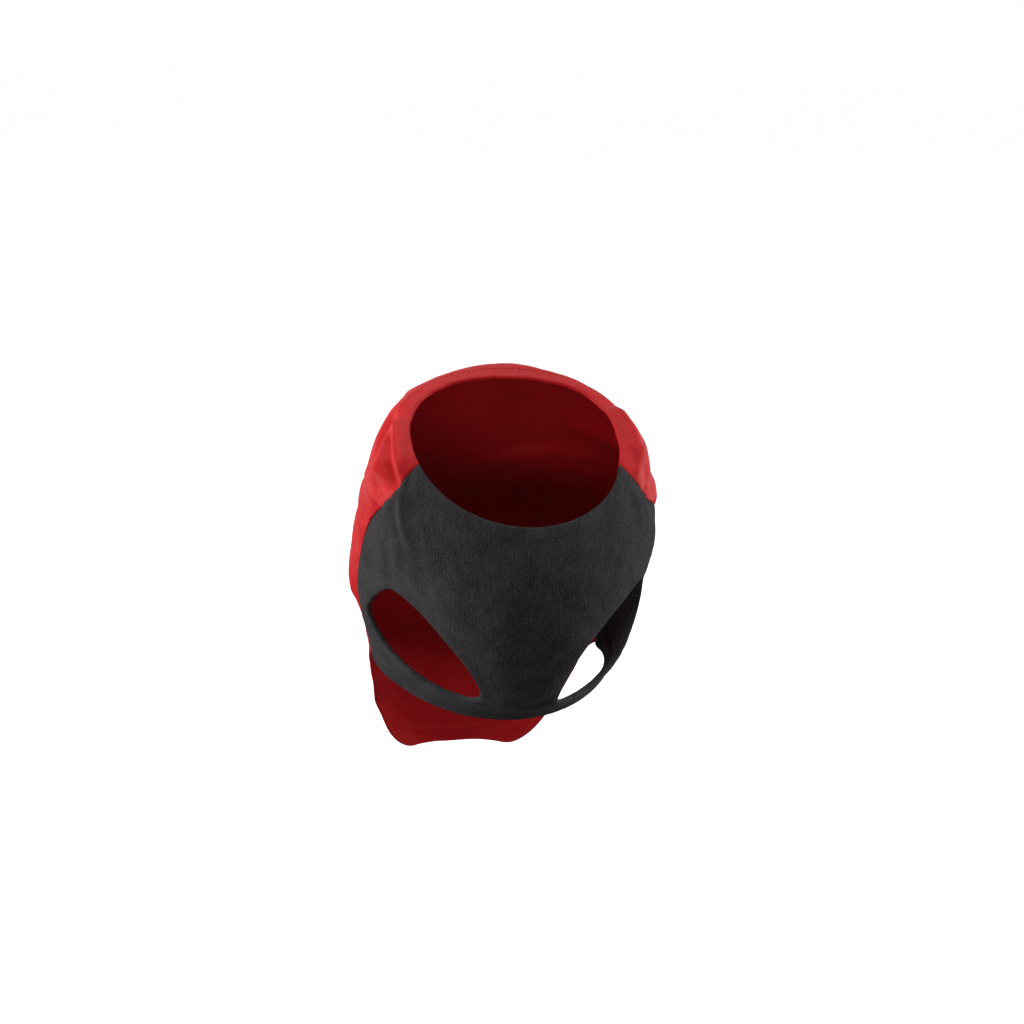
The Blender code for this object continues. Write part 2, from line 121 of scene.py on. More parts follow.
# ---------------------------------------------------------------- folds
# Heights above 0 are ridges and below 0 troughs. skew sharpens one side of a fold: above
# 0 its side towards the hem is the steep one, below 0 the side towards the neck. power
# is 2 for a soft fold and nearer to 1 for a crisp one.
Fold = namedtuple("Fold", "name ring angle end_ring end_angle half_width height skew power")
FOLD_ROWS = [
    ("left_collar_ridge", 0.42, -116, 0.66, -74, 3.2, 2.5, 0.5, 1.4),
    ("left_chest_ridge", 0.66, -75, 1.6, -56, 4, 1.2, 0.3, 1.8),
    ("left_collar_trough", 0.62, -110, 0.86, -75, 3.2, -3.4, -0.35, 1.5),
    ("left_shoulder_ridge", 0.84, -110, 1.45, -84, 3.8, 2.2, 0.1, 1.6),
    ("left_shoulder_trough", 0.8, -124, 1.55, -93, 3.8, -3.5, 0.2, 1.5),
    ("left_armpit_bulge", 2.1, -72, 2.9, -66, 9, 1.2, 0, 2),
    ("left_flank_trough", 4.4, -84, 3.5, -126, 7.5, -1.3, 0, 1.8),
    ("left_flank_ridge", 5.95, -84, 5.25, -128, 7.5, 2, 0.2, 1.6),
    ("left_waist_ridge", 7.2, -94, 6.8, -134, 7.5, 1.4, 0.2, 1.8),
    ("left_hem_flute", 7.1, -100, 9.6, -128, 8, 2.2, 0, 1.8),
    ("left_hem_hollow", 7.6, -122, 9.4, -146, 8.5, -1.8, 0, 1.9),
    ("right_collar_ridge", 0.55, 122, 0.72, 80, 4.6, 2.3, 0.3, 1.6),
    ("right_collar_trough", 0.98, 100, 1.04, 74, 3.2, -1.9, -0.2, 1.4),
    ("right_shoulder_ridge", 1.28, 112, 1.8, 70, 5.4, 1.5, 0.3, 1.6),
    ("right_shoulder_trough", 1.85, 116, 1.7, 84, 5, -1.2, 0, 1.6),
    ("right_chest_bulge", 1.5, 62, 2.4, 66, 9, 1.1, 0, 2),
    ("right_flank_ridge", 4.1, 86, 3.3, 124, 7, 1.7, 0.2, 1.6),
    ("right_flank_trough", 4.9, 84, 4.4, 130, 7, -1.5, 0, 1.8),
    ("right_waist_ridge", 5.9, 84, 5, 136, 8, 2, 0.2, 1.7),
    ("right_waist_trough", 6.6, 92, 6, 134, 7, -1.5, 0, 1.8),
    ("right_hem_flute", 7.4, 104, 9.9, 132, 8.5, 2, 0, 1.8),
    ("nape_ridge", 0.7, 150, 0.9, 205, 5, 1.3, 0.2, 1.6),
    ("loin_trough", 7.6, 152, 7.2, 204, 9, -1.6, 0, 1.9),
    ("loin_ridge", 8.5, 206, 8.9, 158, 9, 1.7, 0, 1.7),
    ("belly_ridge", 5.75, -30, 5.7, 26, 4.2, 0.9, 0.2, 1.9),
    # finer creases at the left side seam
    ("left_seam_crescent", 1.52, -102, 1.3, -87, 1.6, 1, 0.3, 1.3),
    ("left_seam_dimple", 0.84, -92, 0.76, -74, 1.9, -1.3, 0, 1.4),
    ("left_crimson_fold", 0.58, -108, 0.7, -80, 1.5, -0.9, 0, 1.3),
    ("left_upper_tuck", 0.2, -98, 0.34, -80, 1.5, 0.5, 0.2, 1.4),
    ("left_upper_hollow", 0.3, -112, 0.45, -90, 2, -0.4, 0, 1.6),
    ("left_drag_streak", 2.6, -110, 1.84, -80, 1.9, 1, 0.2, 1.3),
    ("left_drag_hollow", 2.95, -110, 2.3, -84, 2.8, -0.9, 0, 1.5),
    ("left_side_streak", 3.05, -114, 3.85, -85, 2.2, 0.9, -0.2, 1.4),
    ("left_side_tuck", 5, -106, 4.9, -86, 2.2, -0.5, 0, 1.4),
    ("left_waist_drag", 6.4, -112, 6.55, -88, 2.4, 0.5, 0.2, 1.4),
    # the left half of the chest
    ("left_chest_crease", 0.56, -75, 1.64, -53, 1.7, 1.7, 0.35, 1.3),
    ("left_chest_dip", 0.9, -74, 1.75, -62, 2.6, -1, 0, 1.7),
    ("left_chest_soft", 1.2, -77, 2.1, -72, 3.4, 1.1, 0, 1.8),
    ("left_chest_bulge", 1.75, -66, 2.35, -60, 4.4, 1.6, 0, 2),
    ("left_chest_hollow", 1.4, -54, 2.5, -46, 4.6, -1.2, 0, 1.9),
    ("left_armhole_drag", 3.6, -80, 3.1, -70, 2.4, 0.4, 0, 1.6),
    # finer creases at the right side seam and on the chest's right half
    ("right_seam_crease", 1.55, 96, 1.02, 64, 1.7, -1.1, -0.2, 1.3),
    ("right_seam_ridge", 0.8, 94, 0.5, 72, 1.7, 0.9, 0.3, 1.3),
    ("right_seam_tuck", 0.98, 90, 0.82, 68, 1.5, -0.9, 0, 1.3),
    ("right_upper_tuck", 0.25, 104, 0.36, 84, 1.7, 0.5, 0, 1.4),
    ("right_chest_crease", 0.55, 66, 1.15, 54, 2.4, 0.8, 0.1, 1.6),
    ("right_chest_soft", 1.35, 66, 2.1, 60, 3.6, 0.4, 0, 2),
    ("right_chest_drag", 1.6, 40, 2.2, 54, 4.6, 0.4, 0, 2),
    ("right_side_streak", 2.5, 108, 2.2, 88, 2.2, 0.5, 0.2, 1.4),
    ("right_side_tuck", 3.3, 110, 3.6, 88, 2.4, -0.5, 0, 1.4),
    ("right_waist_drag", 5.4, 110, 5.6, 88, 2.4, 0.5, 0.2, 1.4),
    # the middle of the chest, and the belly
    ("chest_middle_swell", 1.1, -20, 1.6, 18, 8, 0.4, 0, 2),
    ("strap_drag_left", 2.7, -20, 3.6, -8, 3.6, 0.4, 0, 1.8),
    ("strap_drag_right", 2.6, 12, 3.5, 4, 3.2, 0.35, 0, 1.8),
    ("belly_brink", 4.45, -19, 3.42, 10, 3.8, 1.3, 0.45, 1.7),
    ("belly_crease", 4.85, -20, 3.95, 10, 3, -1.1, -0.2, 1.7),
    ("belly_tuck_left", 5.6, -58, 6.3, -66, 3.2, 0.6, 0, 1.6),
    ("belly_tuck_right", 5.5, 50, 6.3, 60, 3.4, 0.6, 0, 1.6),
    # the back: drag lines from the withers, across the ribs and over the rump
    ("withers_fold", 1.27, 154, 1.53, 202, 4, 1.7, 0.2, 1.3),
    ("shoulder_blade_left", 0.88, -136, 2.62, -152, 4.8, 2.1, 0.2, 1.4),
    ("shoulder_blade_right", 1, 132, 2.95, 150, 5.3, 2.1, 0.2, 1.4),
    ("rib_left_upper", 2.06, -113, 3.14, -153, 3.7, 1.8, 0.3, 1.3),
    ("rib_left_hollow", 2.58, -112, 3.52, -146, 3.7, -1.7, 0, 1.4),
    ("rib_right_ridge", 2, 114, 2.8, 144, 3.7, 1.7, 0.2, 1.3),
    ("rib_right_upper", 2.52, 111, 3.19, 150, 4, -1.8, 0, 1.4),
    ("mid_back_left", 2.93, -130, 4.27, -176, 4.6, 2.1, 0.2, 1.4),
    ("mid_back_right", 3.48, 136, 4.42, 182, 4.8, 1.8, 0.2, 1.4),
    ("mid_back_hollow", 3.99, 143, 4.86, 197, 5.1, -1.7, 0, 1.4),
    ("left_rib_drag", 4.79, -117, 4.12, -157, 3.7, 1.7, 0.2, 1.3),
    ("lower_back", 5.64, 138, 5.31, 204, 5.1, 2.4, 0.3, 1.4),
    ("lower_back_tuck", 6.08, 146, 5.87, 192, 3.7, -1.8, 0, 1.3),
    ("left_hip_tuck", 6.45, -98, 6.85, -146, 4.2, -2.1, 0, 1.4),
    ("left_hip_drag", 7.88, -108, 8.82, -142, 3.5, 1.7, 0, 1.3),
    ("right_hip_tuck", 7.23, 102, 6.97, 150, 4.2, -2.1, 0, 1.4),
    ("right_hip_drag", 8.07, 113, 8.33, 151, 3.7, 1.8, 0.2, 1.3),
    ("rump_left", 9.01, -144, 10.49, -160, 5.5, 2.2, 0, 1.6),
    ("rump_right", 8.78, 161, 10.52, 169, 5.5, 2.1, 0, 1.6),
    ("rump_hollow", 9.11, 175, 10.59, 183, 6.6, -1.8, 0, 1.9),
    ("rump_tuck_left", 8.78, -165, 9.72, -173, 3.3, 1.3, 0, 1.4),
]
FOLDS = [Fold(*row) for row in FOLD_ROWS]
FOLD_POINTS = 9
FOLD_END = 0.22  # share of a fold's length that each end takes to fade
BACK_FOLD_END = 0.42
BACK_FOLDS_FROM = 103  # degrees; a fold that lies wholly beyond this is the back's
TAPER = 0.4  # how much narrower a back fold is at its ends
FOLD_REACH = 3.2  # half widths from a fold's line beyond which it lifts nothing
CREST = 0.2  # half widths over which a fold's top is rounded
DOWNHILL = 0.05  # rings, to tell which side of a fold faces the hem

GROOVE_DEPTH = 0.75 * MM
GROOVE_REACH = 1.5 * MM
HOLLOW_DEPTH = 0.5 * MM  # the wide dip on both sides of the groove
HOLLOW_REACH = 4.5 * MM

# Puckers along the side seams; slow waves shift them and change their height
PUCKER_PITCH = 5.6 * MM
PUCKER_HEIGHT = 0.40 * MM
PUCKER_REACH = 5.0 * MM
PUCKER_SHIFT = 1.5  # radians by which a pucker strays from the even pitch
SHIFT_WAVE = 0.31  # turns of the slow wave for each pucker
HEIGHT_WAVE = 0.17
HEIGHT_MIDDLE, HEIGHT_SWING = 0.6, 0.4
PUCKERS_IN_GROOVE = 0.8  # how much lower they are on the groove itself
PUCKERS_ON_CHEST = 0.35  # their height on the jersey, against that on the back
PUCKERS_BELOW_NECK = (0.3, 2.0)  # rings over which they grow
SEAM_PHASES = (0.0, 2.1)

# Turned hems, by their distance from the free edge
HEM_END = (8.3 * MM, 8.7 * MM)
HEM_STITCH = 7.4 * MM
TWIN_STITCH = 5.4 * MM
STITCH_GROOVE = 0.13 * MM
STITCH_REACH = 0.55 * MM
EDGE_ROUNDING = 0.28 * MM
EDGE_REACH = 0.7 * MM
HEM_WAVE = 0.16 * MM
HEM_WAVE_STARTS = (0, 1.5 * MM)
HEM_WAVE_ENDS = (5 * MM, 9 * MM)

DERIVATIVE_STEP = 1e-3


def natural_cubic(values):
    """A smooth curve through values at 0, 1, 2, ..., as a function of ring."""
    values = np.array(values, float)
    count = len(values)
    system = np.eye(count)
    bend = np.zeros(count)
    for i in range(1, count - 1):
        system[i, i - 1 : i + 2] = 1, 4, 1
        bend[i] = 6 * (values[i - 1] - 2 * values[i] + values[i + 1])
    bend = np.linalg.solve(system, bend)

    def curve(ring):
        start = np.clip(np.floor(ring).astype(int), 0, count - 2)
        part = ring - start
        left = 1 - part
        straight = left * values[start] + part * values[start + 1]
        bent = (left**3 - left) * bend[start] + (part**3 - part) * bend[start + 1]
        return straight + bent / 6

    return curve


def column(field, scale=1.0):
    """A column of the sections' table, as a function of ring."""
    return natural_cubic([getattr(section, field) * scale for section in SECTIONS])


BACK_Y = column("back_y", MM)
BACK_Z = column("back_z", MM)
FRONT_Y = column("front_y", MM)
FRONT_Z = column("front_z", MM)
HALF_WIDTH = column("half_width", MM)
WIDEST = column("widest")
FULLNESS = column("fullness")
LEFT_SEAM = column("left_seam")
RIGHT_SEAM = column("right_seam")


def at(curve, ring):
    """A curve's value at one ring."""
    return float(curve(np.array(ring)))


def stretch_of(path):
    """The length along a path up to each of its points."""
    return np.concatenate([[0], np.linalg.norm(np.diff(path, axis=0), axis=1).cumsum()])


def smoothstep(value, low, high):
    share = np.clip((value - low) / (high - low), 0, 1)
    return share * share * (3 - 2 * share)


def unit(vectors):
    return vectors / np.linalg.norm(vectors, axis=-1, keepdims=True)


def form_point(ring, angle):
    """The smooth worn form, without folds. ring and angle are arrays."""
    turn = np.radians(angle)
    side, ahead = np.sin(turn), np.cos(turn)
    power = np.where(ahead < 0, FULLNESS(ring), CHEST_FULLNESS)
    reach = (np.abs(side) ** power + np.abs(ahead) ** power) ** (-1 / power)
    side, ahead = side * reach, ahead * reach
    widest = WIDEST(ring)
    share = np.where(ahead > 0, widest * (1 - ahead), widest - (1 - widest) * ahead)
    return np.stack(
        [
            HALF_WIDTH(ring) * side,
            FRONT_Y(ring) + (BACK_Y(ring) - FRONT_Y(ring)) * share,
            FRONT_Z(ring) + (BACK_Z(ring) - FRONT_Z(ring)) * share,
        ],
        -1,
    )


def form_slopes(ring, angle):
    """How the form's point moves for each ring down and for each radian round."""
    step = DERIVATIVE_STEP
    turn = math.degrees(step)
    down = form_point(ring + step, angle) - form_point(ring - step, angle)
    around = form_point(ring, angle + turn) - form_point(ring, angle - turn)
    return down / (2 * step), around / (2 * step)


def form_normal(ring, angle):
    return unit(np.cross(*form_slopes(ring, angle)))


def fold_lift(fold, points):
    """How far one fold lifts each point of the form."""
    share = np.linspace(0, 1, FOLD_POINTS)
    ring = fold.ring + (fold.end_ring - fold.ring) * share
    angle = fold.angle + (fold.end_angle - fold.angle) * share
    route = form_point(ring, angle)
    downhill = form_point(ring + DOWNHILL, angle) - route
    middle = route.mean(axis=0)
    reach = np.linalg.norm(route - middle, axis=1).max() + FOLD_REACH * fold.half_width * MM
    close = np.linalg.norm(points - middle, axis=-1) < reach
    here = points[close]
    nearest = np.full(len(here), np.inf)
    along = np.zeros(len(here))
    below = np.zeros(len(here))
    for i in range(FOLD_POINTS - 1):
        run = route[i + 1] - route[i]
        part = np.clip((here - route[i]) @ run / (run @ run), 0, 1)
        offset = here - route[i] - part[:, None] * run
        gap = np.linalg.norm(offset, axis=1)
        closer = gap < nearest
        along = np.where(closer, (i + part) / (FOLD_POINTS - 1), along)
        below = np.where(closer, np.sign(offset @ downhill[i]), below)
        nearest = np.minimum(gap, nearest)
    on_back = min(abs(fold.angle), abs(fold.end_angle)) > BACK_FOLDS_FROM
    end = BACK_FOLD_END if on_back else FOLD_END
    fade = smoothstep(along, 0, end) * smoothstep(1 - along, 0, end)
    width = 1 - TAPER * (1 - fade) if on_back else 1
    across = nearest / (fold.half_width * MM * width * (1 - fold.skew * below))
    rounded = np.sqrt(across * across + CREST**2) - CREST
    lift = np.zeros(points.shape[:-1])
    lift[close] = fold.height * MM * fade * np.exp(-(rounded**fold.power))
    return lift


def seam_gaps(ring, angle):
    """Distances from the left and the right seam, in metres round the ring."""
    turned = (angle + 180) % 360 - 180
    left = np.radians(abs(turned + LEFT_SEAM(ring))) * RADIUS
    right = np.radians(abs(turned - RIGHT_SEAM(ring))) * RADIUS
    return left, right


def seam_relief(ring, angle):
    """The groove that each side seam pulls, and the puckers beside it."""
    turned = (angle + 180) % 360 - 180
    on_back = (turned < -LEFT_SEAM(ring), turned > RIGHT_SEAM(ring))
    turn = ring * RING_STEP / PUCKER_PITCH * 2 * math.pi
    lift = 0
    for gap, behind, phase in zip(seam_gaps(ring, angle), on_back, SEAM_PHASES):
        groove = np.exp(-gap / GROOVE_REACH)
        hollow = np.exp(-((gap / HOLLOW_REACH) ** 2))
        beside = np.exp(-((gap / PUCKER_REACH) ** 2)) * (1 - PUCKERS_IN_GROOVE * groove)
        shifted = turn + PUCKER_SHIFT * np.sin(turn * SHIFT_WAVE + phase) + phase
        strength = HEIGHT_MIDDLE + HEIGHT_SWING * np.sin(turn * HEIGHT_WAVE + 1.0 + phase)
        strength = strength * np.where(behind, 1.0, PUCKERS_ON_CHEST)
        strength = strength * smoothstep(ring, *PUCKERS_BELOW_NECK)
        lift = lift - GROOVE_DEPTH * groove - HOLLOW_DEPTH * hollow
        lift = lift + PUCKER_HEIGHT * strength * np.sin(shifted) * beside
    return lift


# Slow swells over each cloth: waves round the ring and down it, and their height
Swell = namedtuple("Swell", "around down phase height")
SWELLS = [
    Swell(2.1, 0.7, 0.3, 0.22),
    Swell(-3.3, 1.6, 1.9, 0.16),
    Swell(4.7, 2.4, 4.0, 0.11),
    Swell(-6.1, 3.3, 2.6, 0.08),
    Swell(9.0, -4.6, 5.2, 0.05),
]
SWELL_BEND = 0.8  # radians by which a swell strays, in waves of its own down the rings
SWELL_BEND_WAVE = 1.7


def swell(ring, angle):
    lift = 0
    for wave in SWELLS:
        turn = wave.around * np.radians(angle) + wave.down * ring + wave.phase
        bend = SWELL_BEND * np.sin(ring * SWELL_BEND_WAVE + wave.phase)
        lift = lift + wave.height * MM * np.sin(turn + bend)
    return lift


FRACTAL = (0.8, 2.0, 3)  # how the noise's finer layers fade and shrink, and their number


def uneven(points, size):
    """Smooth noise from about -1 to 1, with bumps of about this size, in metres."""
    return np.array([noise.fractal(Vector(point), *FRACTAL) for point in points / size])


# A cloth's wall, what its turned hem adds to it, the height and size of its crinkles, and
# whether its hem has two rows of stitches
Finish = namedtuple("Finish", "wall turn crinkle crinkle_size twin")
WOVEN = Finish(BACK_WALL, 0.85 * MM, 0.24 * MM, 13 * MM, False)
RIB = Finish(CHEST_WALL, 0.95 * MM, 0.09 * MM, 9 * MM, True)


def edge_relief(to_edge, wobble, finish):
    """The rounded brink of a turned hem, its stitch grooves and its slight unevenness."""
    lift = -EDGE_ROUNDING * np.exp(-((to_edge / EDGE_REACH) ** 2))
    rows = (HEM_STITCH, TWIN_STITCH) if finish.twin else (HEM_STITCH,)
    for row in rows:
        lift = lift - STITCH_GROOVE * np.exp(-(((to_edge - row) / STITCH_REACH) ** 2))
    on_hem = smoothstep(to_edge, *HEM_WAVE_STARTS) * (1 - smoothstep(to_edge, *HEM_WAVE_ENDS))
    return lift + HEM_WAVE * on_hem * wobble


def cloth_point(ring, angle, to_edge, finish):
    """The cloth's outer face, with folds, seam grooves and hems."""
    points = form_point(ring, angle)
    wobble = uneven(points, finish.crinkle_size)
    lift = seam_relief(ring, angle) + swell(ring, angle) + finish.crinkle * wobble
    lift = lift + edge_relief(to_edge, wobble, finish)
    for fold in FOLDS:
        lift = lift + fold_lift(fold, points)
    return points + lift[:, None] * form_normal(ring, angle)


def cloth_depth(to_edge, finish):
    """How thick the cloth is: its wall, and its turned hem near a free edge."""
    return finish.wall + finish.turn * (1 - smoothstep(to_edge, *HEM_END))


# ---------------------------------------------------------------- edges of the cut
HALF_GAP = math.degrees(SEAM_GAP / 2 / RADIUS)


def back_hem(across):
    """The ring of the back panel's hem, at a share of its width from seam to seam."""
    to_seam = np.minimum(across, 1 - across)
    return HEM_SEAM + (HEM_RUMP - HEM_SEAM) * smoothstep(to_seam, *HEM_RISE)


def back_angle(ring, across):
    start = RIGHT_SEAM(ring) + HALF_GAP
    end = 360 - LEFT_SEAM(ring) - HALF_GAP
    return start + (end - start) * across


def flat(centre, ring, angle):
    """Ring and angle as distances from an armhole's centre."""
    along = (ring - centre.ring) * RING_STEP
    across = math.radians(angle - centre.angle) * RADIUS
    return along, across


def armhole_reach(marks, centre, direction):
    """How far an armhole's edge is from its centre, as a closed smooth curve."""
    places = [flat(centre, mark.ring, mark.angle) for mark in marks]
    turns = sorted((math.atan2(*place), math.hypot(*place)) for place in places)
    laps = (-2 * math.pi, 0, 2 * math.pi)
    knots = [(turn + lap, reach) for lap in laps for turn, reach in turns]
    i = max(k for k, (turn, _) in enumerate(knots) if turn <= direction)
    (before, low), (start, first) = knots[i - 1], knots[i]
    (end, last), (after, high) = knots[i + 1], knots[i + 2]
    span = end - start
    part = (direction - start) / span
    leave = (last - low) / (end - before) * span
    arrive = (high - first) / (after - start) * span
    return (
        (2 * part**3 - 3 * part**2 + 1) * first
        + (part**3 - 2 * part**2 + part) * leave
        + (3 * part**2 - 2 * part**3) * last
        + (part**3 - part**2) * arrive
    )


def armhole_place(marks, centre, direction):
    reach = armhole_reach(marks, centre, direction)
    ring = centre.ring + reach * math.sin(direction) / RING_STEP
    angle = centre.angle + math.degrees(reach * math.cos(direction) / RADIUS)
    return ring, angle


def chest_hem(angle, seam):
    """The ring of the chest panel's hem at an angle, on the side whose seam is given."""
    share = angle / at(seam, HEM_SEAM)
    return HEM_BELLY + (HEM_SEAM - HEM_BELLY) * share * share


# ---------------------------------------------------------------- patches
# Rows near a free edge, in millimetres from it, so that the stitches and the end of the
# turned hem have rows of their own.
EDGE_ROWS = (0, 0.5, 1.2, 2.2, 3.6, 5.0, 5.4, 5.8, 6.6, 7.0, 7.4, 7.8, 8.3, 8.7, 9.3, 10.4)
SEAM_ROWS_REACH = (1.5 * MM, 4.7 * MM)  # what the same rows take up beside a seam
COLUMN_SAMPLES = 90
STEEPEST = 2.5  # longest that a slanting column stretches the rows
ENDS_SHARE = 0.97  # most of a column that the rows at its two ends may take
CENTRE_LINE = 1e-9  # degrees within which a place is on the centre line
BACK_COLUMNS = 216
BACK_MIDDLE_ROWS = 150
NECK_SIDE_COLUMNS = 62
SEAM_COLUMNS = 128
HEM_SIDE_COLUMNS = 72
CENTRE_ROWS = 104
CHEST_MIDDLE_ROWS = 30
BACK_SEAM_CROWDING = 0.35
CHEST_NECK_CROWDING = 1.1


def column_rows(ring, angle, near_along, far_along, middle_rows):
    """Places down one column, with rows crowded at its ends to run along the edges there.

    near_along and far_along are the edges' directions; far_along is None at a seam.
    """
    points = form_point(ring, angle)
    lengths = stretch_of(points)
    reaches = []
    for run, along in ((points[1] - points[0], near_along), (points[-1] - points[-2], far_along)):
        rows = np.array(EDGE_ROWS) * MM
        if along is not None:
            slant = np.linalg.norm(np.cross(unit(run), unit(along)))
            rows = rows / max(slant, 1 / STEEPEST)
        reaches.append(rows)
    near, far = reaches
    if far_along is None:
        far = far / far[-1] * np.clip(ENDS_SHARE * lengths[-1] - near[-1], *SEAM_ROWS_REACH)
    fit = min(1, ENDS_SHARE * lengths[-1] / (near[-1] + far[-1]))
    near, far = near * fit, far * fit
    middle = np.linspace(near[-1], lengths[-1] - far[-1], middle_rows + 2)[1:-1]
    places = np.concatenate([near, middle, lengths[-1] - far[::-1]])
    return np.interp(places, lengths, ring), np.interp(places, lengths, angle)


def grid_quads(columns, rows, closed=False):
    """Faces between points that are numbered column by column."""
    starts = np.arange(columns if closed else columns - 1)
    i, j = np.meshgrid(starts, np.arange(rows - 1), indexing="ij")
    here = (i * rows + j).ravel()
    following = ((i + 1) % columns * rows + j).ravel()
    return np.stack([here, following, following + 1, here + 1], 1)


def back_patch():
    """Places and faces of the back panel: a grid from one side seam to the other."""
    even = np.linspace(0, 1, BACK_COLUMNS + 1)
    eased = 0.5 - 0.5 * np.cos(np.pi * even)
    across = even + (eased - even) * BACK_SEAM_CROWDING
    hem = back_hem(across)
    neck_line = np.gradient(form_point(0 * hem, back_angle(0 * hem, across)), axis=0)
    hem_line = np.gradient(form_point(hem, back_angle(hem, across)), axis=0)
    columns = []
    for share, end, near_along, far_along in zip(across, hem, neck_line, hem_line):
        ring = np.linspace(0, end, COLUMN_SAMPLES)
        angle = back_angle(ring, share)
        columns.append(column_rows(ring, angle, near_along, far_along, BACK_MIDDLE_ROWS))
    places = np.array(columns)  # column, ring or angle, row
    quads = grid_quads(len(columns), places.shape[2])[:, [0, 3, 2, 1]]
    return places[:, 0].ravel(), places[:, 1].ravel(), quads


def chest_outline(seam):
    """Places round half of the chest panel, and whether each is on a free edge."""
    neck_end = at(seam, 0.0) - HALF_GAP
    hem_end = at(seam, HEM_SEAM) - HALF_GAP
    places = [(0.0, neck_end * i / NECK_SIDE_COLUMNS, 1) for i in range(NECK_SIDE_COLUMNS)]
    rings = HEM_SEAM * np.linspace(0, 1, SEAM_COLUMNS + 1) ** CHEST_NECK_CROWDING
    places += [(ring, at(seam, ring) - HALF_GAP, 0) for ring in rings]
    for i in range(HEM_SIDE_COLUMNS - 1, 0, -1):
        angle = hem_end * i / HEM_SIDE_COLUMNS
        places.append((float(chest_hem(angle, seam)), angle, 1))
    places += [(HEM_BELLY * i / CENTRE_ROWS, 0.0, 0) for i in range(CENTRE_ROWS, 0, -1)]
    return np.array(places)


def chest_half(marks, centre, seam):
    """Places and faces of half of the chest panel: columns from its armhole outwards."""
    outline = chest_outline(seam)
    inner = np.array(
        [
            armhole_place(marks, centre, math.atan2(*flat(centre, ring, angle)))
            for ring, angle, _ in outline
        ]
    )
    edge, border = form_point(*inner.T), form_point(*outline[:, :2].T)
    armhole_line = np.roll(edge, -1, axis=0) - np.roll(edge, 1, axis=0)
    border_line = np.roll(border, -1, axis=0) - np.roll(border, 1, axis=0)
    columns = []
    for start, end, near_along, far_along in zip(inner, outline, armhole_line, border_line):
        ring = np.linspace(start[0], end[0], COLUMN_SAMPLES)
        angle = np.linspace(start[1], end[1], COLUMN_SAMPLES)
        free = far_along if end[2] else None
        columns.append(column_rows(ring, angle, near_along, free, CHEST_MIDDLE_ROWS))
    places = np.array(columns)
    quads = grid_quads(len(columns), places.shape[2], closed=True)
    return places[:, 0].ravel(), places[:, 1].ravel(), quads


def chest_patch():
    """The chest panel's two halves, which share the points of its centre line."""
    ring, angle, quads = chest_half(RIGHT_ARMHOLE, RIGHT_CENTRE, RIGHT_SEAM)
    left_ring, left_angle, left_quads = chest_half(LEFT_ARMHOLE, LEFT_CENTRE, LEFT_SEAM)
    kept = np.abs(left_angle) > CENTRE_LINE
    number = np.where(kept, len(ring) + np.cumsum(kept) - 1, np.arange(len(left_ring)))
    quads = np.concatenate([quads, number[left_quads[:, ::-1]]])
    ring = np.concatenate([ring, left_ring[kept]])
    return ring, np.concatenate([angle, -left_angle[kept]]), quads


# ---------------------------------------------------------------- cloth lengths, for UVs
ARC_RINGS = np.linspace(0, 11, 89)
ARC_ANGLES = np.arange(-180, 541, 3.0)


def arc_tables():
    """Lengths along the cloth: round each ring from the chest's middle, and down."""
    ring, angle = np.meshgrid(ARC_RINGS, ARC_ANGLES, indexing="ij")
    points = form_point(ring, angle)
    around = np.zeros(ring.shape)
    around[:, 1:] = np.linalg.norm(np.diff(points, axis=1), axis=-1).cumsum(1)
    around -= around[:, ARC_ANGLES.searchsorted(0)][:, None]
    down = np.zeros(ring.shape)
    down[1:] = np.linalg.norm(np.diff(points, axis=0), axis=-1).cumsum(0)
    return around, down


AROUND, DOWN = arc_tables()


def between(table, ring, angle):
    """A table's value between its rings and angles."""
    row = np.clip(ring / (ARC_RINGS[1] - ARC_RINGS[0]), 0, len(ARC_RINGS) - 1.001)
    place = (angle - ARC_ANGLES[0]) / (ARC_ANGLES[1] - ARC_ANGLES[0])
    place = np.clip(place, 0, len(ARC_ANGLES) - 1.001)
    i, j = row.astype(int), place.astype(int)
    u, v = row - i, place - j
    top = table[i, j] * (1 - v) + table[i, j + 1] * v
    bottom = table[i + 1, j] * (1 - v) + table[i + 1, j + 1] * v
    return top * (1 - u) + bottom * u


def cloth_uv(ring, angle, middle):
    """Metres across and down the cloth from the panel's middle line."""
    across = between(AROUND, ring, angle)
    across = across - between(AROUND, ring, np.full(np.shape(ring), float(middle)))
    return np.stack([across, -between(DOWN, ring, angle)], -1)


# ---------------------------------------------------------------- mesh making
RIM_STEPS = 4
RIM_BULGE = 0.55  # how round a free edge's brink is: 1 would be a half circle


def link_new(name, data):
    made = bpy.data.objects.new(name, data)
    bpy.context.scene.collection.objects.link(made)
    return made


def make_mesh(name, points, faces, material, uv=None):
    mesh = bpy.data.meshes.new(name)
    mesh.from_pydata(points.tolist(), [], [list(map(int, face)) for face in faces])
    if uv is not None:
        layer = mesh.uv_layers.new(name="cloth")
        corners = np.zeros(len(mesh.loops), int)
        mesh.loops.foreach_get("vertex_index", corners)
        layer.uv.foreach_set("vector", uv[corners].astype(np.float32).ravel())
    mesh.validate()
    mesh.shade_smooth()
    mesh.materials.append(material)
    return link_new(name, mesh)


def border_edges(quads):
    """The patch's edges that only one face has, as directed pairs."""
    edges = np.concatenate([quads[:, [i, (i + 1) % 4]] for i in range(4)])
    size = int(quads.max()) + 1
    code = edges[:, 0] * size + edges[:, 1]
    back = edges[:, 1] * size + edges[:, 0]
    return edges[~np.isin(code, back)]


def mesh_normals(points, quads):
    """Each point's outward normal, from the faces round it."""
    corners = points[quads]
    crossed = np.cross(corners[:, 2] - corners[:, 0], corners[:, 3] - corners[:, 1])
    total = np.zeros(points.shape)
    for corner in range(4):
        for axis in range(3):
            total[:, axis] += np.bincount(quads[:, corner], crossed[:, axis], len(points))
    return unit(total)


